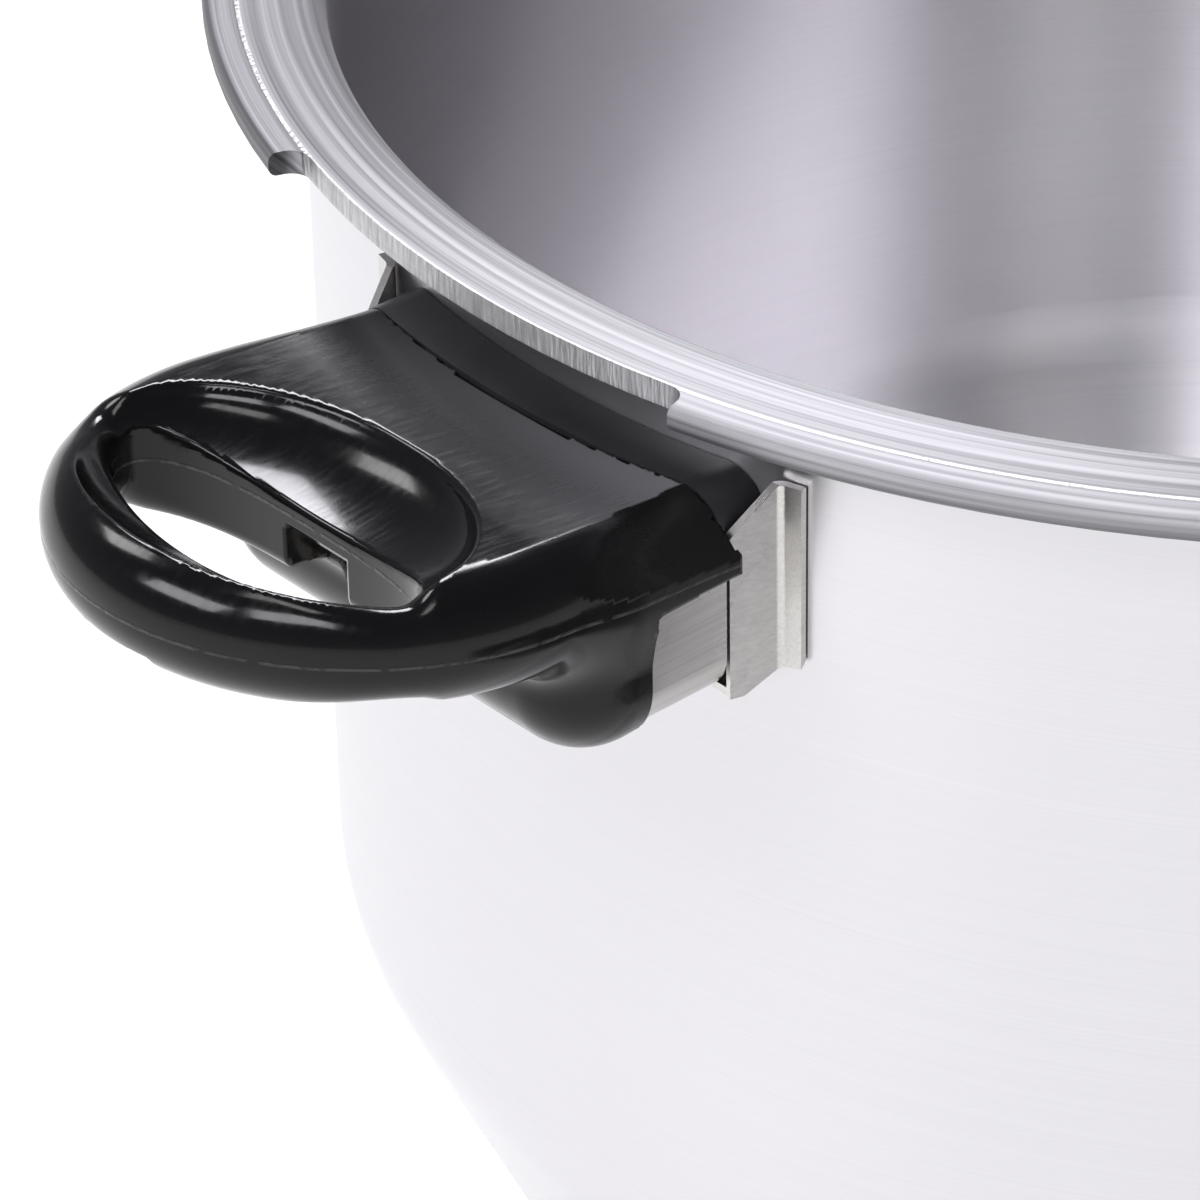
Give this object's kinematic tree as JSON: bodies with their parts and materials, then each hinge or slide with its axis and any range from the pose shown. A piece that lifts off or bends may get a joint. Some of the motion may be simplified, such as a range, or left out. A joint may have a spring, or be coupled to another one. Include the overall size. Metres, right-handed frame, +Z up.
{
  "type": "stovetop pressure cooker",
  "caption": "Open stovetop pressure cooker: bayonet-rimmed aluminium pot with loop and long handles, and its locking lid with weight, float and plug valves beside it.",
  "frame": {"origin": "centre of the pot's flat base, on the surface it stands on", "axes": "+Z up along the pot's axis; -X towards the loop-shaped helper handle, +X towards the long main handle; the lid lies on the -Y side"},
  "size_m": [0.5053, 0.5736, 0.1827],
  "materials": {
    "aluminium_brushed": "brushed",
    "aluminium_rivet": "satin",
    "steel_satin": "satin",
    "steel_zinc": "satin",
    "steel_machined": "machined",
    "phenolic_black": "gloss",
    "phenolic_dark": "semi-gloss",
    "silicone_grey": "matt",
    "silicone_red": "matt",
    "spring_steel": "drawn wire"
  },
  "bodies": {
    "pot": {"pot_body": "aluminium_brushed", "helper_rivets": "aluminium_rivet", "helper_bracket": "steel_zinc", "helper_spacer": "phenolic_dark", "helper_rear_guard": "steel_satin", "helper_front_guard": "steel_satin", "helper_handle": "phenolic_black", "helper_washer": "steel_zinc", "helper_screw": "steel_zinc", "main_rivets": "aluminium_rivet", "main_bracket": "steel_zinc", "main_spacer": "phenolic_dark", "main_rear_guard": "steel_satin", "main_front_guard": "steel_satin", "main_handle": "phenolic_black", "main_washer": "steel_zinc", "main_screw": "steel_zinc"},
    "seal": {"sealing_ring": "silicone_grey"},
    "lid": {"lid_shell": "aluminium_brushed", "vent_pipe": "steel_machined", "vent_nut": "steel_machined", "vent_strainer": "steel_satin", "safety_plug": "silicone_red", "lid_bracket": "steel_zinc", "lid_rivets": "aluminium_rivet", "lid_handle_base": "phenolic_black", "lid_handle_cover": "phenolic_black", "lid_handle_screws": "steel_zinc", "lock_spring": "spring_steel"},
    "regulator": {"regulator_weight": "steel_machined", "regulator_cap": "phenolic_black"},
    "float_valve": {"float_pin": "steel_machined", "float_seal": "silicone_grey"},
    "lock": {"lock_bar": "steel_zinc", "lock_button": "phenolic_dark"}
  },
  "joints": [
    {"name": "lid_lift", "type": "slide", "parent": "pot", "child": "seal", "axis": [0, 0, 1], "range_m": [0, 0.25]},
    {"name": "lid_turn", "type": "hinge", "parent": "seal", "child": "lid", "pos_m": [0, -0.3, 0.01], "axis": [0, 0, 1], "range_deg": [-30, 0]},
    {"name": "regulator_lift", "type": "slide", "parent": "lid", "child": "regulator", "axis": [0, 0, 1], "range_m": [0, 0.015]},
    {"name": "float_rise", "type": "slide", "parent": "lid", "child": "float_valve", "axis": [0, 0, 1], "range_m": [0, 0.004]},
    {"name": "lock_press", "type": "slide", "parent": "lid", "child": "lock", "axis": [-1, 0, 0], "range_m": [0, 0.008], "stiffness_N_per_m": 400, "springref_m": -0.004, "deforming": ["lock_spring"]}
  ]
}
